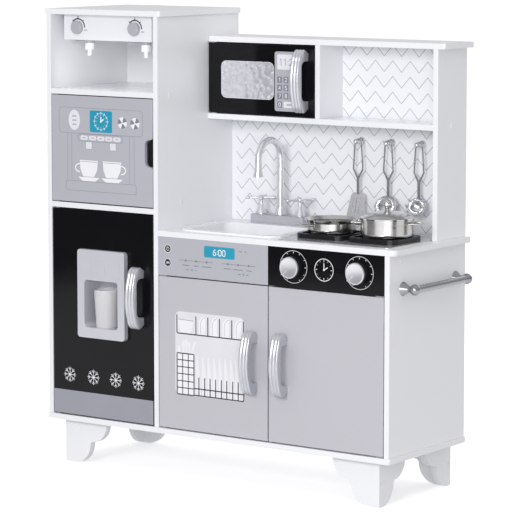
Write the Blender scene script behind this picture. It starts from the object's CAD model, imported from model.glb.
import math

import bmesh
import bpy
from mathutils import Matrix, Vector


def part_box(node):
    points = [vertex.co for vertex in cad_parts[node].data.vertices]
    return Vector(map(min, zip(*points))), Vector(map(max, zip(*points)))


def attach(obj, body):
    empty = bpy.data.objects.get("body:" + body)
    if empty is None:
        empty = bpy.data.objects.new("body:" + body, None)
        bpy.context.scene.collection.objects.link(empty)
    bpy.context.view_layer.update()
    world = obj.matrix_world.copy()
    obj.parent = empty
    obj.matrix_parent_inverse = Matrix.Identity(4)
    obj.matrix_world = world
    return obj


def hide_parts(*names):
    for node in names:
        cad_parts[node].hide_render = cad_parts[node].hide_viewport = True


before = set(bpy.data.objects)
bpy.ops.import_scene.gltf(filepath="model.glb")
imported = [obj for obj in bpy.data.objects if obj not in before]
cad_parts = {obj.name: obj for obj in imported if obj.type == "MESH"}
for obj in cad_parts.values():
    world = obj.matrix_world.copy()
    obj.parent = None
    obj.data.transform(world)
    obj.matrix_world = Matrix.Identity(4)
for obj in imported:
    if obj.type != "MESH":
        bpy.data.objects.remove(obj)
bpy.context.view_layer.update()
scene = bpy.context.scene
scene.view_settings.view_transform = "Standard"
MM = 0.001
BOARD_BEVEL = 0.9  # eased board edges, in mm
LAYER_STEP, INK_THICKNESS = 0.10, 0.08  # from one layer of ink to the next, and of each, in mm
SHARPEST_MITRE = 0.45  # cosine of half the turn at which a stroke's corner stops growing


# ---------------------------------------------------------------- materials
def linear(value):
    """One screen channel, 0 to 255, as linear light."""
    v = value / 255.0
    return v / 12.92 if v <= 0.04045 else ((v + 0.055) / 1.055) ** 2.4


def rgb(r, g, b):
    return tuple(linear(c) for c in (r, g, b)) + (1.0,)


def material(name, colour, rough, metallic=0.0, specular=0.5, tint=0.04, tint_scale=14.0,
             spread=0.08, rough_scale=60.0, bump=0.12, bump_size=0.0002, bump_scale=1100.0,
             stretch=(1.0, 1.0, 1.0), cells=False, transmission=0.0):
    """A procedural finish: mottled colour, uneven gloss and a fine surface bump. tint is how far
    the colour varies and spread how far the roughness does. cells makes the bump a hammered one."""
    mat = bpy.data.materials.new(name)
    mat.use_nodes = True
    nodes, links = mat.node_tree.nodes, mat.node_tree.links
    shader = nodes["Principled BSDF"]
    where = nodes.new("ShaderNodeTexCoord")
    mapping = nodes.new("ShaderNodeMapping")
    mapping.inputs["Scale"].default_value = stretch
    links.new(where.outputs["Object"], mapping.inputs["Vector"])

    def noise(scale, detail):
        n = nodes.new("ShaderNodeTexNoise")
        n.inputs["Scale"].default_value = scale
        n.inputs["Detail"].default_value = detail
        links.new(mapping.outputs["Vector"], n.inputs["Vector"])
        return n

    ramp = nodes.new("ShaderNodeValToRGB")
    darker, lighter = ramp.color_ramp.elements
    darker.position, lighter.position = 0.32, 0.68
    darker.color = tuple(c * (1.0 - tint) for c in colour[:3]) + (1.0,)
    lighter.color = tuple(min(1.0, c * (1.0 + tint)) for c in colour[:3]) + (1.0,)
    links.new(noise(tint_scale, 3.0).outputs["Fac"], ramp.inputs["Fac"])
    links.new(ramp.outputs["Color"], shader.inputs["Base Color"])

    spread_map = nodes.new("ShaderNodeMapRange")
    spread_map.inputs["From Min"].default_value = 0.3
    spread_map.inputs["From Max"].default_value = 0.7
    spread_map.inputs["To Min"].default_value = max(0.02, rough - spread / 2)
    spread_map.inputs["To Max"].default_value = min(1.0, rough + spread / 2)
    links.new(noise(rough_scale, 4.0).outputs["Fac"], spread_map.inputs["Value"])
    links.new(spread_map.outputs["Result"], shader.inputs["Roughness"])

    relief = nodes.new("ShaderNodeBump")
    relief.inputs["Strength"].default_value = bump
    relief.inputs["Distance"].default_value = bump_size
    if cells:
        grain = nodes.new("ShaderNodeTexVoronoi")
        grain.feature = "SMOOTH_F1"
        grain.inputs["Scale"].default_value = bump_scale
        links.new(mapping.outputs["Vector"], grain.inputs["Vector"])
        links.new(grain.outputs["Distance"], relief.inputs["Height"])
    else:
        links.new(noise(bump_scale, 2.0).outputs["Fac"], relief.inputs["Height"])
    links.new(relief.outputs["Normal"], shader.inputs["Normal"])

    shader.inputs["Metallic"].default_value = metallic
    shader.inputs["Specular IOR Level"].default_value = specular
    shader.inputs["Transmission Weight"].default_value = transmission
    return mat


WHITE = material("white_paint", rgb(238, 239, 242), 0.30, tint=0.006, tint_scale=3.0, specular=0.45,
                 spread=0.05, rough_scale=25.0, bump=0.02, bump_scale=260.0)
SHELF = material("white_gloss_paint", rgb(238, 239, 242), 0.14, tint=0.006, tint_scale=3.0,
                 spread=0.04, rough_scale=25.0, bump=0.02, bump_scale=220.0)
GREY = material("grey_paint", rgb(190, 189, 196), 0.30, tint=0.008, tint_scale=3.0, spread=0.05,
                rough_scale=25.0, bump=0.02, bump_scale=260.0)
PANEL_GREY = material("panel_grey_paint", rgb(180, 181, 189), 0.30, tint=0.008, tint_scale=3.0,
                      spread=0.05, rough_scale=25.0, bump=0.02, bump_scale=260.0)
BLACK = material("black_gloss_paint", rgb(17, 17, 20), 0.10, tint=0.05, tint_scale=5.0,
                 specular=0.17, spread=0.04, rough_scale=20.0, bump=0.02, bump_scale=220.0)
WHITE_PLASTIC = material("white_plastic", rgb(238, 239, 242), 0.24, tint=0.006, tint_scale=9.0,
                         bump=0.03, bump_scale=600.0)
TAP_PLASTIC = material("tap_white_plastic", rgb(233, 234, 238), 0.32, tint=0.006, tint_scale=9.0,
                       bump=0.02, bump_scale=700.0)
GREY_PLASTIC = material("grey_plastic", rgb(176, 176, 184), 0.32, tint=0.015, bump=0.04,
                        bump_scale=900.0)
SILVER = material("silver_plastic", rgb(192, 193, 199), 0.30, metallic=0.45, tint=0.02,
                  tint_scale=40.0, spread=0.05, bump=0.02, bump_scale=900.0)
HOUSING = material("silver_grey_plastic", rgb(204, 205, 212), 0.34, metallic=0.25, tint=0.01,
                   tint_scale=20.0, spread=0.06, bump=0.03, bump_scale=900.0)
SILVER_BRIGHT = material("bright_silver_plastic", rgb(214, 214, 219), 0.22, metallic=0.75,
                         tint=0.02, bump=0.04, bump_scale=900.0)
BLACK_PLASTIC = material("black_plastic", rgb(24, 23, 25), 0.34, tint=0.10, tint_scale=60.0,
                         specular=0.4, spread=0.12, bump=0.10, bump_scale=900.0)
PLATED = material("steel_look_plastic", rgb(222, 223, 228), 0.28, metallic=0.72, tint=0.02,
                  tint_scale=9.0, spread=0.04, rough_scale=20.0, bump=0.008, bump_scale=200.0)
SPUN = material("spun_silver_cap", rgb(218, 219, 223), 0.28, metallic=0.75, tint=0.01,
                tint_scale=9.0, spread=0.03, rough_scale=20.0, bump=0.008, bump_scale=200.0)
STEEL = material("brushed_steel", rgb(190, 189, 187), 0.22, metallic=1.0, tint=0.05, tint_scale=6.0,
                 spread=0.10, rough_scale=8.0, bump=0.06, bump_scale=40.0, stretch=(1.0, 1.0, 30.0))
LID_STEEL = material("polished_steel", rgb(204, 203, 201), 0.12, metallic=1.0, tint=0.03,
                     tint_scale=12.0, bump=0.01, bump_scale=200.0)
CHROME = material("chrome", rgb(216, 216, 220), 0.17, metallic=0.84, tint=0.03, tint_scale=20.0,
                  spread=0.04, rough_scale=20.0, bump=0.006, bump_scale=200.0)
FILM = material("hammered_silver_film", rgb(212, 213, 219), 0.22, metallic=0.45, tint=0.07,
                tint_scale=110.0, spread=0.12, rough_scale=120.0, bump=0.9, bump_size=0.003,
                bump_scale=82.0, cells=True)
CLEAR = material("clear_plastic", rgb(250, 250, 252), 0.14, tint=0.01, bump=0.03, bump_scale=200.0,
                 transmission=0.5, spread=0.08)
ROD = material("silver_rod", rgb(150, 151, 155), 0.22, metallic=0.9, tint=0.02, tint_scale=30.0,
               spread=0.06, bump=0.03, bump_scale=500.0)
PIN = material("zinc_plated_steel", rgb(188, 188, 190), 0.32, metallic=1.0, tint=0.05,
               tint_scale=300.0, bump=0.1, bump_scale=900.0)

INKS = {ink: material(f"ink_{name}", rgb(*colour), rough, tint=tint, bump=0.03, bump_scale=1500.0)
        for ink, name, colour, rough, tint in (
            ("white", "white", (236, 236, 240), 0.38, 0.02),
            ("cup", "cup_white", (238, 238, 242), 0.38, 0.02),
            ("pale", "pale_grey", (224, 224, 229), 0.40, 0.02),
            ("soft", "soft_grey", (152, 153, 163), 0.40, 0.02),
            ("mid", "mid_grey", (128, 129, 138), 0.40, 0.03),
            ("dark", "dark_grey", (70, 72, 78), 0.40, 0.05),
            ("black", "black", (30, 30, 33), 0.34, 0.08),
            ("teal", "teal", (28, 152, 182), 0.36, 0.03),
            ("line", "chevron", (176, 179, 190), 0.40, 0.04))}


# ---------------------------------------------------------------- meshes
def finish_mesh(name, bm, mat, body, smooth=None):
    """Makes an object of a bmesh that is in the frame's metres. smooth is the angle, in degrees,
    past which an edge stays sharp."""
    mesh = bpy.data.meshes.new(name)
    bm.to_mesh(mesh)
    bm.free()
    mesh.materials.append(mat)
    obj = bpy.data.objects.new(name, mesh)
    scene.collection.objects.link(obj)
    if smooth is not None:
        mesh.shade_smooth()
        mesh.set_sharp_from_angle(angle=math.radians(smooth))
    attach(obj, body)
    return obj


def arc(cx, cz, r, start, end, steps=24, rz=None):
    """Points of an arc, anticlockwise from start to end in degrees, 0 at the right."""
    rz = r if rz is None else rz
    out = []
    for i in range(steps + 1):
        a = math.radians(start + (end - start) * i / steps)
        out.append((cx + r * math.cos(a), cz + rz * math.sin(a)))
    return out


def rounded(x0, z0, x1, z1, r, steps=6):
    """Points round a rectangle with round corners."""
    return (arc(x1 - r, z0 + r, r, -90, 0, steps) + arc(x1 - r, z1 - r, r, 0, 90, steps)
            + arc(x0 + r, z1 - r, r, 90, 180, steps) + arc(x0 + r, z0 + r, r, 180, 270, steps))


# strokes of each digit in a box 0.6 wide and 1 high
DIGITS = {
    "0": [[(0, .2), (0, .8), (.15, 1), (.45, 1), (.6, .8), (.6, .2), (.45, 0), (.15, 0), (0, .2)]],
    "1": [[(.12, .8), (.36, 1), (.36, 0)]],
    "2": [[(0, .8), (.15, 1), (.45, 1), (.6, .8), (.6, .6), (0, 0), (.6, 0)]],
    "3": [[(0, .85), (.15, 1), (.45, 1), (.6, .82), (.6, .65), (.42, .52), (.22, .52)],
          [(.42, .52), (.6, .38), (.6, .18), (.45, 0), (.15, 0), (0, .15)]],
    "4": [[(.45, 0), (.45, 1), (0, .3), (.6, .3)]],
    "5": [[(.56, 1), (.08, 1), (.04, .56), (.4, .6), (.6, .42), (.6, .18), (.43, 0), (.12, 0),
           (0, .12)]],
    "6": [[(.5, 1), (.2, .85), (0, .45), (0, .18), (.15, 0), (.45, 0), (.6, .18), (.6, .36),
           (.45, .54), (.15, .54), (0, .4)]],
    "7": [[(0, 1), (.6, 1), (.22, 0)]],
    "8": [[(.15, .53), (0, .68), (0, .84), (.15, 1), (.45, 1), (.6, .84), (.6, .68), (.45, .53),
           (.15, .53), (0, .38), (0, .16), (.15, 0), (.45, 0), (.6, .16), (.6, .38), (.45, .53)]],
    "9": [[(.1, 0), (.4, .15), (.6, .55), (.6, .82), (.45, 1), (.15, 1), (0, .82), (0, .64),
           (.15, .46), (.45, .46), (.6, .6)]],
}


class Print:
    """Ink on the front face of a board: shapes in millimetres from the face's lower left corner,
    each a thin closed layer, and one piece for each ink."""

    def __init__(self, name, node, body, slot):
        low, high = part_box(node)
        self.name, self.body, self.slot = name, body, slot
        self.low, self.wide, self.high = low, (high.x - low.x) / MM, (high.z - low.z) / MM
        self.inks = {}

    def mesh(self, ink):
        if ink not in self.inks:
            self.inks[ink] = bmesh.new()
        return self.inks[ink]

    def point(self, x, z, layer):
        return self.low + Vector((x, -LAYER_STEP - LAYER_STEP * layer, z)) * MM

    def fill(self, ink, points, layer=0):
        turn = sum(a[0] * b[1] - b[0] * a[1] for a, b in zip(points, points[1:] + points[:1]))
        if turn < 0:
            points = points[::-1]
        bm = self.mesh(ink)
        clean = [p for i, p in enumerate(points) if math.dist(p, points[i - 1]) > 1e-3]
        bm.faces.new([bm.verts.new(self.point(x, z, layer)) for x, z in clean])

    def line(self, ink, points, width, layer=0, closed=False):
        """A stroke of even width. Corners are mitred, and a sharp one is cut short."""
        n = len(points)
        if closed and math.dist(points[0], points[-1]) < 1e-3:
            points, n = points[:-1], n - 1
        left, right = [], []
        for i, (x, z) in enumerate(points):
            before = points[i - 1] if (closed or i) else None
            after = points[(i + 1) % n] if (closed or i < n - 1) else None
            ways = []
            if before:
                ways.append(Vector((x - before[0], z - before[1])).normalized())
            if after:
                ways.append(Vector((after[0] - x, after[1] - z)).normalized())
            along = sum(ways, Vector((0.0, 0.0))).normalized()
            side = Vector((-along.y, along.x))
            reach = width / 2 / max(SHARPEST_MITRE, along.dot(ways[-1]))
            left.append((x + side.x * reach, z + side.y * reach))
            right.append((x - side.x * reach, z - side.y * reach))
        bm = self.mesh(ink)
        lv = [bm.verts.new(self.point(x, z, layer)) for x, z in left]
        rv = [bm.verts.new(self.point(x, z, layer)) for x, z in right]
        for i in range(n if closed else n - 1):
            j = (i + 1) % n
            bm.faces.new([rv[i], rv[j], lv[j], lv[i]])

    def disc(self, ink, x, z, r, layer=0, steps=32):
        self.fill(ink, arc(x, z, r, 0, 360, steps)[:-1], layer)

    def ring(self, ink, x, z, r, width, layer=0, steps=48, start=0, end=360):
        whole = end - start >= 360
        self.line(ink, arc(x, z, r, start, end, steps), width, layer, closed=whole)

    def box(self, ink, x0, z0, x1, z1, r=0.6, layer=0):
        self.fill(ink, rounded(x0, z0, x1, z1, min(r, (x1 - x0) / 2.01, (z1 - z0) / 2.01)), layer)

    def number(self, ink, text, x, z, height, width, layer=0, gap=0.85):
        for sign in text:
            if sign == ":":
                for up in (0.25, 0.68):
                    self.box(ink, x, z + height * up - width / 2, x + width,
                             z + height * up + width / 2, 0.2, layer)
                x += height * 0.3
                continue
            for stroke in DIGITS[sign]:
                self.line(ink, [(x + px * height, z + pz * height) for px, pz in stroke],
                          width, layer)
            x += height * gap

    def done(self):
        for ink, bm in self.inks.items():
            obj = finish_mesh(f"{self.name}_{ink}", bm, INKS[ink], self.body)
            thick = obj.modifiers.new("ink_thickness", "SOLIDIFY")
            thick.thickness = INK_THICKNESS * MM
            thick.offset = -1.0


# ---------------------------------------------------------------- the frame's own pieces
def finish_node(name, mat, bevel):
    """Gives one of the frame's nodes its finish and, where bevel isn't 0, edges eased by it."""
    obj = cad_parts[name]
    if obj.data.materials:
        for i in range(len(obj.data.materials)):
            obj.material_slots[i].material = mat
    else:
        obj.data.materials.append(mat)
    if bevel:
        weld = obj.modifiers.new("weld", "WELD")
        weld.merge_threshold = 0.00002
        edge = obj.modifiers.new("eased_edges", "BEVEL")
        edge.width = bevel * MM
        edge.segments = 2
        edge.limit_method = "ANGLE"
        edge.angle_limit = math.radians(50)
        edge.harden_normals = True
        edge.use_clamp_overlap = True


HANDLES = {"fridge_handle": "fridge_door", "dishwasher_handle": "dishwasher_door",
           "cupboard_handle": "cupboard_door", "microwave_handle": "microwave_door"}
KNOBS = ("hob_knob_left", "hob_knob_right")
for mat, bevel, names in (
        (WHITE, BOARD_BEVEL, ("base_board", "tower_left_panel", "tower_right_panel",
                              "tower_top_board", "tower_back_panel",
                              "cabinet_right_panel", "cabinet_divider",
                              "cabinet_back_panel", "worktop", "hutch_right_panel",
                              "hutch_top_board", "hutch_divider", "backsplash_panel",
                              "leg_front_left", "leg_front_right", "leg_rear_left",
                              "leg_rear_right")),
        (SHELF, BOARD_BEVEL, ("niche_shelf", "fridge_shelf", "hutch_shelf")),
        (GREY, BOARD_BEVEL, ("dishwasher_door", "cupboard_door")),
        (PANEL_GREY, BOARD_BEVEL, ("coffee_door", "dishwasher_control_panel")),
        (BLACK, BOARD_BEVEL, ("fridge_door", "microwave_door", "oven_control_panel")),
        (WHITE_PLASTIC, 0.0, ("sink_basin", "assembly_screws")),
        (TAP_PLASTIC, 0.9, ("tap_box",)),
        (GREY_PLASTIC, 0.6, ("faucet_block",)),
        (GREY_PLASTIC, 0.4, ("microwave_keypad",)),
        (GREY_PLASTIC, 0.0, ("dial_left", "dial_right", "tap_lever_left", "tap_lever_right")),
        (SILVER_BRIGHT, 0.4, ("hob_plate",)),
        (HOUSING, 0.5, ("ice_dispenser_housing",)),
        (BLACK_PLASTIC, 0.0, ("burner_grates", "magnet_catches")),
        (FILM, 0.0, ("microwave_window",)),
        (CLEAR, 0.0, ("ice_cup",)),
        (SILVER, 0.0, HANDLES),
        (PLATED, 0.0, ("faucet_spout", "faucet_handle_left", "faucet_handle_right") + KNOBS),
        (STEEL, 0.0, ("saucepan", "stew_pot")),
        (LID_STEEL, 0.0, ("pot_lid",)),
        (ROD, 0.0, ("towel_bar",)),
        (CHROME, 0.0, ("utensil_pegs", "turner", "ladle", "pasta_server")),
        (PIN, 0.0, ("door_pivot_pins",))):
    for name in names:
        finish_node(name, mat, bevel)

# ---------------------------------------------------------------- chevrons behind the worktop
# all in mm: between peaks, from valley to peak, between rows, and from the board's ends
PITCH, RISE, ROWS_APART, EDGE = 43.85, 24.0, 33.5, 12.8
CHEVRON_WIDTH = 1.6
GAP = 0.8  # left free of ink beside a shelf
wall = Print("chevrons", "backsplash_panel", "kitchen", "white_board")
floor_up = (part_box("hutch_shelf")[0].z - wall.low.z) / MM
shelf_up = (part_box("hutch_shelf")[1].z - wall.low.z) / MM
roof_up = (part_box("hutch_top_board")[0].z - wall.low.z) / MM
cell_left = (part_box("hutch_divider")[1].x - wall.low.x) / MM


def chevron(peak_x, peak_z, x0, x1, lowest, highest):
    """One zigzag, cut off at x0 and x1, and left out below lowest and above highest."""
    half = PITCH / 2
    first = math.floor((x0 - peak_x) / half)
    last = math.ceil((x1 - peak_x) / half)

    def height(x):
        t = abs((x - peak_x) / half) % 2
        return peak_z - RISE * (t if t <= 1 else 2 - t)

    corners = [peak_x + half * k for k in range(first, last + 1)]
    xs = [x0] + [x for x in corners if x0 < x < x1] + [x1]
    run = []
    for a, b in zip(xs, xs[1:]):
        p, q = (a, height(a)), (b, height(b))
        lo_t, hi_t = 0.0, 1.0
        rise = q[1] - p[1]
        for limit, keep_above in ((lowest, True), (highest, False)):
            if abs(rise) < 1e-9:
                continue
            t = (limit - p[1]) / rise
            above_at_start = p[1] > limit
            if 0 < t < 1:
                if above_at_start == keep_above:
                    hi_t = min(hi_t, t)
                else:
                    lo_t = max(lo_t, t)
            elif above_at_start != keep_above:
                hi_t = -1.0
        if hi_t > lo_t:
            start = (p[0] + (q[0] - p[0]) * lo_t, p[1] + rise * lo_t)
            end = (p[0] + (q[0] - p[0]) * hi_t, p[1] + rise * hi_t)
            if run and math.dist(run[-1], start) < 1e-6:
                run.append(end)
            else:
                if len(run) > 1:
                    wall.line("line", run, CHEVRON_WIDTH)
                run = [start, end]
    if len(run) > 1:
        wall.line("line", run, CHEVRON_WIDTH)


for row in range(-1, 6):
    chevron(49.1, 194.6 - ROWS_APART * row, EDGE, wall.wide - EDGE, GAP, floor_up - GAP)
for row in range(5):
    chevron(29.3, 266.6 + ROWS_APART * row, cell_left + GAP, wall.wide - EDGE, shelf_up + GAP,
            roof_up - GAP)
wall.done()

# ---------------------------------------------------------------- coffee machine door
p = Print("coffee_print", "coffee_door", "coffee_door", "grey_board")
p.line("soft", rounded(20.6, 151.7, 253.6, 207.8, 9), 1.3, closed=True)
p.fill("pale", arc(63.7, 180.7, 16, 0, 360, 32, rz=22.4)[:-1])
for z in (171, 180, 189):
    p.box("soft", 58, z - 1.2, 69.5, z + 1.2, 1.0, 1)
p.box("teal", 107.3, 156, 169.6, 203.5, 4)
clock_x, clock_z = 138.5, 180
for hour in range(12):
    a = math.radians(30 * hour)
    for near, far, wide in ((15.8, 20.6, 2.4), (12.4, 13.6, 1.2)):
        p.line("white", [(clock_x + r * math.sin(a), clock_z + r * math.cos(a))
                         for r in (near, far)], wide, 1)
p.ring("white", clock_x, clock_z, 18.2, 0.8, 1)
p.line("white", [(clock_x, 179), (clock_x, 190.5)], 3.0, 2)
p.line("white", [(138.0, 179.6), (146.2, 185.4)], 3.0, 2)
p.disc("white", clock_x, clock_z, 2.6, 3, 16)
for cx in (197.9, 232.6):
    p.disc("white", cx, 179.5, 12.6, 0)
    for k in range(3):
        p.fill("mid", [(cx, 179.5)] + arc(cx, 179.5, 12.4, 120 * k + 15, 120 * k + 75, 10), 1)
    p.disc("white", cx, 179.5, 1.8, 2, 16)
p.line("soft", rounded(74.7, 135, 199.3, 150.5, 7), 1.3, closed=True)
for cx in (91, 114.8, 137.8, 160, 182.7):
    p.box("pale", cx - 10.3, 137.8, cx + 10.3, 147.4, 4.6)
    p.box("soft", cx - 4.5, 141.9, cx + 4.5, 143.5, 0.7, 1)
for x0 in (95.3, 162.4):
    p.box("pale", x0, 117.8, x0 + 17.8, 134.3, 2)
    p.line("soft", rounded(x0, 117.8, x0 + 17.8, 134.3, 2), 1.0, 1, closed=True)
for x in (44, 56, 217.2, 230):
    p.line("soft", [(x, 48), (x, 150)], 1.2)
p.line("soft", rounded(39.4, 25.5, 235, 46.6, 3), 1.3, closed=True)
for x0, x1, b0, b1, grip in ((78.8, 129, 85.2, 122, 1), (143.2, 193.8, 149.5, 186.2, -1)):
    cup = [(x0, 93.4), (x0 + 1.4, 74)] + arc(b0 + 7, 64, 7, 190, 268, 5) \
        + arc(b1 - 7, 64, 7, 272, 350, 5) + [(x1 - 1.4, 74), (x1, 93.4)]
    p.fill("cup", cup, 1)
    side = x0 if grip == 1 else x1
    p.line("cup", arc(side, 76, 12.5, 90, 90 + 180 * grip, 14, rz=9), 2.6, 0)
    p.line("soft", [(x0 + 2, 90.2), (x1 - 2, 90.2)], 1.0, 2)
    mid = (x0 + x1) / 2
    p.fill("cup", [(mid - 31, 57), (mid + 31, 57), (mid + 18, 47.6), (mid - 18, 47.6)], 0)
    p.line("soft", [(mid - 31, 57), (mid + 31, 57)], 0.9, 2)
p.done()

# ---------------------------------------------------------------- dishwasher door
p = Print("dishwasher_print", "dishwasher_door", "dishwasher_door", "grey_board")
p.box("pale", 44, 76, 227, 257, 12)
WIRE = 2.6  # the rack's thick wires
p.line("dark", [(48.5, 249.5), (48.5, 213)] + arc(52, 213, 3.5, 180, 270, 4)[1:]
       + arc(221, 213.5, 4, -90, 0, 5) + [(225, 249.6)], WIRE, 2)
for x in (99.6, 131.2, 162.1, 194.3):
    p.line("dark", [(x, 209.5), (x, 249.5)], WIRE, 2)
p.fill("cup", [(52.5, 240), (93, 238.6), (90, 226), (85, 212), (58, 212), (54, 226)], 1)
p.line("soft", [(52.5, 240), (93, 238.6)], 1.2, 2)
for k in range(4):
    x = 106 + 31.4 * k
    p.fill("cup", [(x + 1, 211), (x + 17.5, 211), (x + 18.6, 251.5)]
           + arc(x + 18.6, 234, 17.6, 90, 168, 12, rz=18), 1)
    p.line("soft", arc(x + 22.4, 233, 16.5, 105, 172, 12, rz=17) + [(x + 6, 213)], 0.8, 2)
p.line("dark", rounded(48.8, 77, 94.1, 166.5, 2.5), WIRE, 2, closed=True)
for x in (63.7, 78.9):
    p.line("dark", [(x, 77), (x, 166)], 2.2, 2)
for z in (152, 137, 121.9, 106.4, 91.5):
    p.line("dark", [(48.8, z), (94.1, z)], 2.2, 2)
p.box("cup", 50.5, 79, 92.5, 165, 2, 1)
for x0, x1, top in ((63.5, 68.8, 194), (71.5, 76.2, 197), (79.4, 84, 193.5),
                    (51.6, 56.4, 182.6)):
    p.box("white", x0, 165, x1, top, 2.4, 1)
    p.box("white", x0 - 1.6, top - 15, x1 + 1.6, top, 3.6, 2)
p.fill("white", [(84.8, 165), (89.4, 165), (99.4, 192.5), (96.4, 195.4), (93.4, 193)], 1)
for x in (101.9, 117.2, 132.1, 146.9, 161.8, 176.7, 191.6, 205):
    p.fill("white", [(x - 1.6, 80.5), (x + 10.6, 80.5), (x + 9.4, 110), (x + 5.6, 140),
                     (x + 1.2, 163), (x - 0.8, 165), (x - 1.8, 162), (x - 2.4, 120)], 1)
for x in (107.3, 122.7, 137.1, 151.8, 167.1, 181.1, 196.8, 211.2):
    p.line("dark", [(x, 78), (x, 118)], WIRE, 3)
p.line("dark", [(94, 93), (225.8, 93)], WIRE, 3)
p.line("dark", [(94, 78.2), (222, 78.2)] + arc(221.8, 82, 4, -80, 0, 5) + [(225.8, 118)], WIRE, 3)
p.done()

# ---------------------------------------------------------------- dishwasher control panel
p = Print("control_print", "dishwasher_control_panel", "kitchen", "grey_board")
for z in (58.2, 28.2):
    p.disc("pale", 26.4, z, 9.0, 0)
    p.disc("black", 26.4, z, 7.7, 1)
p.ring("white", 26.4, 58.2, 3.9, 0.9, 2, start=110, end=430)
p.line("white", [(26.4, 58.6), (26.4, 63.4)], 1.0, 2)
for dx in (0, 3.1):
    p.fill("white", [(23.2 + dx, 25.3), (23.2 + dx, 31.1), (26.6 + dx, 28.2)], 2)
p.line("white", [(30.6, 25.4), (30.6, 31)], 1.0, 2)
p.box("teal", 123.4, 47, 204, 71.5, 4)
p.number("white", "6:00", 147.5, 52.6, 12.2, 1.9, 1)
p.box("mid", 214.4, 64.7, 223, 66.5, 0.8)
p.disc("mid", 231.7, 66, 1.7, 0, 16)
for x0, x1, z, blobs in ((57.5, 147, 36.3, (74.6, 102.2, 130.2)),
                         (170.4, 258, 36.8, (186.4, 213.4, 240.6))):
    p.line("mid", [(x0, z), (x1, z)], 1.2)
    for x in blobs:
        p.disc("mid", x, z, 2.5, 1, 20)
for x0, x1, z in ((64.7, 84.2, 26), (95.4, 108.7, 26), (117.8, 143, 26), (75, 83, 16.5),
                  (99.5, 103.5, 16.5), (175.4, 194.4, 26.5), (200.4, 225.3, 26.5),
                  (234.2, 249, 26.5), (212.3, 220.3, 17), (233.2, 240.2, 17)):
    p.box("mid", x0, z - 0.9, x1, z + 0.9, 0.8)
for x, z in ((91, 16.5), (226.7, 17)):
    p.ring("mid", x, z, 2.2, 0.8, steps=20)
    p.line("mid", [(x, z), (x, z + 3.4)], 0.8, 1)
p.done()

# ---------------------------------------------------------------- oven control panel
p = Print("oven_print", "oven_control_panel", "kitchen", "black_board")
for knob in KNOBS:
    low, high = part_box(knob)
    cx = ((low.x + high.x) / 2 - p.low.x) / MM
    cz = ((low.z + high.z) / 2 - p.low.z) / MM
    p.ring("white", cx, cz, 34, 0.9)
    for k in range(12):
        if k == 9:  # no tick at the bottom
            continue
        a = math.radians(30 * k)
        near = 28.6 if k % 3 == 0 else 30.0
        p.line("white", [(cx + r * math.cos(a), cz + r * math.sin(a)) for r in (near, 32)], 1.5)
clock_x, clock_z, tick_end = 141.5, 43.4, 20.4
p.ring("white", clock_x, clock_z, 23, 1.5)
for hour in range(12):
    a = math.radians(30 * hour)
    deep, wide = (3.6, 1.3) if hour % 3 == 0 else (2.2, 0.9)
    p.line("white", [(clock_x + r * math.sin(a), clock_z + r * math.cos(a))
                     for r in (tick_end - deep, tick_end)], wide)
p.line("white", [(clock_x, clock_z), (clock_x, 57.5)], 1.9)
p.line("white", [(clock_x, clock_z), (151, 49)], 2.1)
p.disc("white", clock_x, clock_z, 2.2, 1, 20)
p.done()

# ---------------------------------------------------------------- tap box
for side in ("left", "right"):
    low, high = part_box(f"dial_{side}")
    p = Print(f"tap_arc_{side}", f"dial_{side}", "kitchen", "white_plastic")
    p.low.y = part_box("tap_box")[0].y
    cx, cz = (high.x - low.x) / 2 / MM, (high.z - low.z) / 2 / MM
    p.ring("black", cx, cz, 18.7, 2.7, start=0, end=140, steps=30)
    p.line("black", [(cx, cz + 20.0), (cx, cz + 24.5)], 2.0)
    for a in (45, 135):
        p.line("black", [(cx + r * math.cos(math.radians(a)), cz + r * math.sin(math.radians(a)))
                         for r in (20.4, 23.0)], 1.4)
    for drop in (4.4, 6.6):
        p.box("soft", cx + 17.0, cz - drop - 1.0, cx + 26.0, cz - drop, 0.5)
    p.done()

# ---------------------------------------------------------------- fridge door
p = Print("fridge_print", "fridge_door", "fridge_door", "black_board")
p.box("soft", 0.6, 0.6, p.wide - 0.6, 53.5, 0.6)
for cx, cz in ((46.2, 89), (113, 88.7), (175.6, 88.8), (238.6, 88.4)):
    for k in range(8):
        a = math.radians(45 * k)
        c, s = math.cos(a), math.sin(a)
        p.line("white", [(cx + 1.5 * c, cz + 1.5 * s), (cx + 17.0 * c, cz + 17.0 * s)], 1.3)
        root_x, root_z = cx + 10.2 * c, cz + 10.2 * s
        for lean in (42, -42):
            b = a + math.radians(lean)
            p.line("white", [(root_x, root_z), (root_x + 6.2 * math.cos(b),
                                                root_z + 6.2 * math.sin(b))], 1.2, 1)
    p.disc("white", cx, cz, 2.6, 1, 16)
p.done()

# ---------------------------------------------------------------- microwave
p = Print("keypad_print", "microwave_keypad", "microwave_door", "grey_plastic")
p.box("pale", 6.6, 90, 45.5, 122.5, 3)
p.number("soft", "11:2", 12, 99, 13.5, 1.6, 1, gap=0.82)
for row, z in enumerate((68, 50.5, 33, 14.4)):
    for col, x in enumerate((6.9, 23.4, 40)):
        if row == 3 and col == 1:
            p.box("pale", x, z - 6.8, x + 29, z + 6.8, 2.6)
            p.box("mid", x + 8, z - 1, x + 21, z + 1, 0.8, 1)
            continue
        if row == 3 and col == 2:
            continue
        p.box("mid", x, z - 6.8, x + 12.6, z + 6.8, 1.6)
        p.number("cup", str(row * 3 + col + 1) if row < 3 else "0", x + 4.1, z - 3.8, 7.6, 1.3, 1)
p.done()
p = Print("window_edge", "microwave_window", "microwave_door", "window_film")
p.line("cup", rounded(0.3, 0.3, p.wide - 0.3, p.high - 0.3, 12.7), 0.8, closed=True)
p.done()

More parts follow.
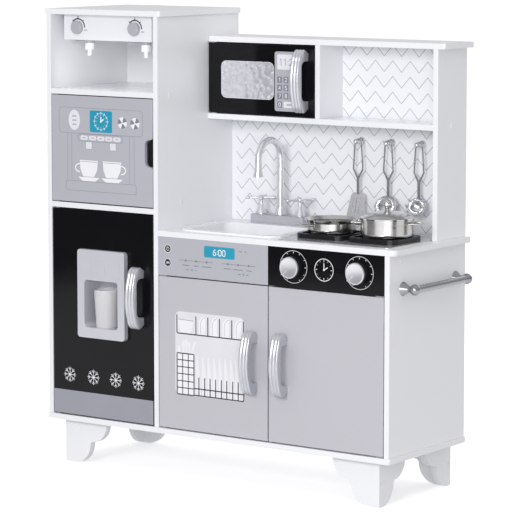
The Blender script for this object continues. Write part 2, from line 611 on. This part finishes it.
# ---------------------------------------------------------------- ribbed handles
# in mm: thickness of the grip, height of each foot, depth of the grooves, and the bow's arc
GRIP, FOOT, GROOVE, BOW_RADIUS, BOW_HALF_HEIGHT = 16.0, 25.0, 1.7, 136.25, 46.0
STATIONS = 84  # cross-sections along a handle


def resample(points, count):
    """count points evenly along a run of straight pieces."""
    lengths = [0.0]
    for a, b in zip(points, points[1:]):
        lengths.append(lengths[-1] + math.dist(a, b))
    out, k = [], 0
    for i in range(count):
        want = lengths[-1] * i / (count - 1)
        while k < len(points) - 2 and lengths[k + 1] < want:
            k += 1
        t = (want - lengths[k]) / max(1e-9, lengths[k + 1] - lengths[k])
        out.append((points[k][0] + (points[k + 1][0] - points[k][0]) * t,
                    points[k][1] + (points[k + 1][1] - points[k][1]) * t))
    return out


def build_handle(node, body):
    """A bow handle with three lengthwise ribs. Its outer and inner runs are in (depth, height)."""
    low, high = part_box(node)
    wide, deep, tall = ((high - low) / MM)[:]
    middle, middle_x = tall / 2, (low.x + high.x) / 2
    side = math.degrees(math.asin(BOW_HALF_HEIGHT / BOW_RADIUS))
    half = [(0.0, -62.0)] + arc(13.0, -55.0, 13.0, -150, -90, 8) \
        + arc(7.03, -44.66, 25.0, -68, -4, 14) \
        + arc(deep - BOW_RADIUS, 0.0, BOW_RADIUS, -side, 0, 14)
    outer = [(d, middle + z) for d, z in half] + [(d, middle - z) for d, z in half[-2::-1]]
    low_in = [(0.0, FOOT)] + arc(deep - GRIP - 13, FOOT + 13, 13, -90, 0, 12)
    inner = low_in + [(d, tall - z) for d, z in low_in[::-1]]
    outer, inner = resample(outer, STATIONS), resample(inner, STATIONS)
    across = [wide * (j / 24 - 0.5) for j in range(25)]
    bm = bmesh.new()
    rings = []
    for i in range(STATIONS):
        before, after = outer[max(0, i - 1)], outer[min(STATIONS - 1, i + 1)]
        along = Vector((after[0] - before[0], after[1] - before[1])).normalized()
        out = Vector((along.y, -along.x))
        ring = []
        for u in across:
            groove = GROOVE * (1.0 - abs(math.cos(math.pi * u / (wide / 3)))) ** 0.8
            edge = max(0.0, abs(u) - (wide / 2 - 2.0))
            sink = groove + edge * edge * 0.55
            ring.append((u, outer[i][0] - out.x * sink, outer[i][1] - out.y * sink))
        ring[0:0] = [(-wide / 2 + 1.0, inner[i][0], inner[i][1])]
        ring.append((wide / 2 - 1.0, inner[i][0], inner[i][1]))
        rings.append([bm.verts.new((middle_x + x * MM, high.y - max(0.0, d) * MM,
                                    low.z + min(tall, max(0.0, z)) * MM)) for x, d, z in ring])
    for ra, rb in zip(rings, rings[1:]):
        n = len(ra)
        for j in range(n):
            k = (j + 1) % n
            bm.faces.new([ra[j], ra[k], rb[k], rb[j]])
    bm.faces.new(rings[0][::-1])
    bm.faces.new(rings[-1])
    bmesh.ops.recalc_face_normals(bm, faces=bm.faces)
    obj = finish_mesh(f"{node}_ribbed", bm, SILVER, body, smooth=40)
    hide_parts(node)


for node, body in HANDLES.items():
    build_handle(node, body)


# ---------------------------------------------------------------- hob knobs
def lathe(bm, centre, along, profile, steps=64):
    """Turns a profile of (radius, distance along the axis) about the axis through centre."""
    along = along.normalized()
    side = along.orthogonal().normalized()
    up = along.cross(side)
    rings = []
    for r, d in profile:
        base = centre + along * d * MM
        if r < 1e-6:
            rings.append([bm.verts.new(base)])
            continue
        rings.append([bm.verts.new(base + (side * math.cos(t) + up * math.sin(t)) * r * MM)
                      for t in (2 * math.pi * k / steps for k in range(steps))])
    for ra, rb in zip(rings, rings[1:]):
        for k in range(steps):
            m = (k + 1) % steps
            if len(ra) == 1 and len(rb) == 1:
                continue
            if len(ra) == 1:
                bm.faces.new([ra[0], rb[k], rb[m]])
            elif len(rb) == 1:
                bm.faces.new([ra[k], rb[0], ra[m]])
            else:
                bm.faces.new([ra[k], rb[k], rb[m], ra[m]])
    bmesh.ops.recalc_face_normals(bm, faces=bm.faces)


KNOB_GAP = 0.4  # between the panel and the skirt, in mm
SKIRT_TOP = 0.66  # where the black skirt ends, as a part of the knob's depth
POINTER_ANGLE = 222  # degrees, anticlockwise from the right
panel_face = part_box("oven_control_panel")[0].y
for knob in KNOBS:
    low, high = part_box(knob)
    centre = Vector(((low.x + high.x) / 2, panel_face - KNOB_GAP * MM, (low.z + high.z) / 2))
    radius, proud = (high.x - low.x) / 2 / MM, (panel_face - low.y) / MM - KNOB_GAP
    front = Vector((0.0, -1.0, 0.0))
    bm = bmesh.new()
    lathe(bm, centre, front, [(0, 0), (radius - 0.6, 0), (radius, 0.6),
                              (radius - 0.4, proud * 0.62), (radius - 1.2, proud * SKIRT_TOP),
                              (0, proud * SKIRT_TOP)])
    finish_mesh(f"{knob}_skirt", bm, BLACK_PLASTIC, knob, smooth=35)
    bm = bmesh.new()
    lathe(bm, centre, front, [(0, proud * SKIRT_TOP), (radius - 1.4, proud * SKIRT_TOP),
                              (radius - 0.9, proud * 0.72), (radius - 0.9, proud * 0.86),
                              (radius - 1.5, proud * 0.91), (radius - 2.6, proud * 0.92),
                              (radius - 3.4, proud * 0.88), (radius * 0.45, proud * 0.83),
                              (0, proud * 0.81)])
    turn = math.radians(POINTER_ANGLE)
    way = Vector((math.cos(turn), 0.0, math.sin(turn)))
    across = Vector((-way.z, 0.0, way.x))
    ends = []
    for reach, half, top in ((radius * 0.30, 1.4, 0.86), (radius * 0.86, 2.6, 1.0),
                             (radius - 0.2, 1.8, 0.98)):
        base = centre + way * reach * MM
        ends.append([bm.verts.new(base + across * side * half * MM + front * proud * h * MM)
                     for side, h in ((-1, 0.70), (1, 0.70), (0.6, top), (-0.6, top))])
    for ra, rb in zip(ends, ends[1:]):
        for k in range(4):
            bm.faces.new([ra[k], ra[(k + 1) % 4], rb[(k + 1) % 4], rb[k]])
    bm.faces.new(ends[0][::-1])
    bm.faces.new(ends[-1])
    bmesh.ops.recalc_face_normals(bm, faces=bm.faces)
    cap = finish_mesh(f"{knob}_cap", bm, SPUN, knob, smooth=35)
    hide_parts(knob)

# ---------------------------------------------------------------- floor, lights, camera
bm = bmesh.new()
bmesh.ops.create_grid(bm, x_segments=2, y_segments=2, size=60.0)
mesh = bpy.data.meshes.new("floor")
bm.to_mesh(mesh)
bm.free()
floor = bpy.data.objects.new("floor", mesh)
scene.collection.objects.link(floor)
floor_mat = material("pale_floor", rgb(250, 250, 251), 0.7, tint=0.006, tint_scale=0.6, spread=0.05,
                     bump=0.02)
floor_shader = floor_mat.node_tree.nodes["Principled BSDF"]
floor_shader.inputs["Emission Color"].default_value = (1, 1, 1, 1)
floor_shader.inputs["Emission Strength"].default_value = 0.38
mesh.materials.append(floor_mat)
floor.visible_diffuse = False  # the floor looks white without lighting the legs from below

world = bpy.data.worlds.new("studio")
world.use_nodes = True
scene.world = world
wn, wl = world.node_tree.nodes, world.node_tree.links
background = wn["Background"]
coords = wn.new("ShaderNodeTexCoord")
split = wn.new("ShaderNodeSeparateXYZ")
sky = wn.new("ShaderNodeValToRGB")
horizon, zenith = sky.color_ramp.elements
horizon.position, zenith.position = 0.0, 0.9
horizon.color, zenith.color = (0.50, 0.50, 0.506, 1), (0.82, 0.82, 0.826, 1)
wl.new(coords.outputs["Generated"], split.inputs["Vector"])
wl.new(split.outputs["Z"], sky.inputs["Fac"])
wl.new(sky.outputs["Color"], background.inputs["Color"])
background.inputs["Strength"].default_value = 1.0


def round_the_object(azimuth, distance, height):
    """A place at an azimuth in degrees from the front, towards the right."""
    a = math.radians(azimuth)
    return (distance * math.sin(a), -distance * math.cos(a), height)


def area_light(name, place, target, width, height, power):
    data = bpy.data.lights.new(name, "AREA")
    data.shape = "RECTANGLE"
    data.size, data.size_y, data.energy = width, height, power
    lamp = bpy.data.objects.new(name, data)
    lamp.location = place
    lamp.rotation_euler = (Vector(target) - Vector(place)).to_track_quat("-Z", "Y").to_euler()
    scene.collection.objects.link(lamp)
    return lamp


for name, azimuth, distance, up, target, size, power in (
        ("key", 12, 4.4, 1.95, (0.0, 0.0, 0.6), (1.5, 1.2), 80.0),
        ("front", 38, 4.6, 0.9, (-0.1, 0.0, 0.75), (1.6, 1.2), 40.0),
        ("fill", 100, 4.0, 1.2, (0.0, 0.0, 0.5), (1.8, 1.8), 1.0),
        ("left", -100, 4.0, 1.2, (0.0, 0.0, 0.5), (1.8, 1.8), 12.0),
        ("back", 180, 4.0, 1.6, (0.0, 0.0, 0.5), (1.8, 1.8), 22.0)):
    area_light(name, round_the_object(azimuth, distance, up), target, *size, power)

# a soft light at the mouth of the niche, which the photo shows lit to the back
niche_low, niche_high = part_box("niche_shelf")
niche_x, niche_up = (niche_low.x + niche_high.x) / 2, niche_high.z + 0.04
niche_lamp = area_light("niche", (niche_x, niche_low.y, niche_up), (niche_x, 0.2, niche_up + 0.02),
                        0.22, 0.06, 0.065)
niche_lamp.visible_camera = False
niche_lamp.visible_glossy = False

# dark cards that show only in shiny surfaces, as a studio sets them round such things
CARD_DISTANCE, CARD_TALL = 3.2, 1.9
card_mat = material("dark_card", rgb(88, 88, 93), 0.8, tint=0.05, bump=0.02)
for k, (azimuth, wide) in enumerate(((-38, 2.8), (66, 0.9), (115, 0.9), (-100, 0.9))):
    bm = bmesh.new()
    bmesh.ops.create_grid(bm, x_segments=1, y_segments=1, size=0.5)
    bmesh.ops.scale(bm, vec=(wide, CARD_TALL, 1.0), verts=bm.verts)
    mesh = bpy.data.meshes.new(f"card_{k}")
    bm.to_mesh(mesh)
    bm.free()
    mesh.materials.append(card_mat)
    card = bpy.data.objects.new(f"card_{k}", mesh)
    card.location = round_the_object(azimuth, CARD_DISTANCE, 0.96)
    card.rotation_euler = (math.radians(90), 0.0, math.radians(azimuth))
    card.visible_camera = card.visible_diffuse = card.visible_shadow = False
    scene.collection.objects.link(card)

AZIMUTH, ELEVATION = math.radians(35.5), math.radians(6.3)
camera_data = bpy.data.cameras.new("camera")
camera_data.sensor_width = 36.0
camera_data.lens = 186.96
camera_data.shift_y = -0.10
camera_data.clip_end = 200.0
camera = bpy.data.objects.new("camera", camera_data)
camera.location = (3.3354, -4.6591, 1.2234)
aim = Vector((-math.sin(AZIMUTH) * math.cos(ELEVATION), math.cos(AZIMUTH) * math.cos(ELEVATION),
              -math.sin(ELEVATION)))
camera.rotation_euler = aim.to_track_quat("-Z", "Y").to_euler()
scene.collection.objects.link(camera)
scene.camera = camera
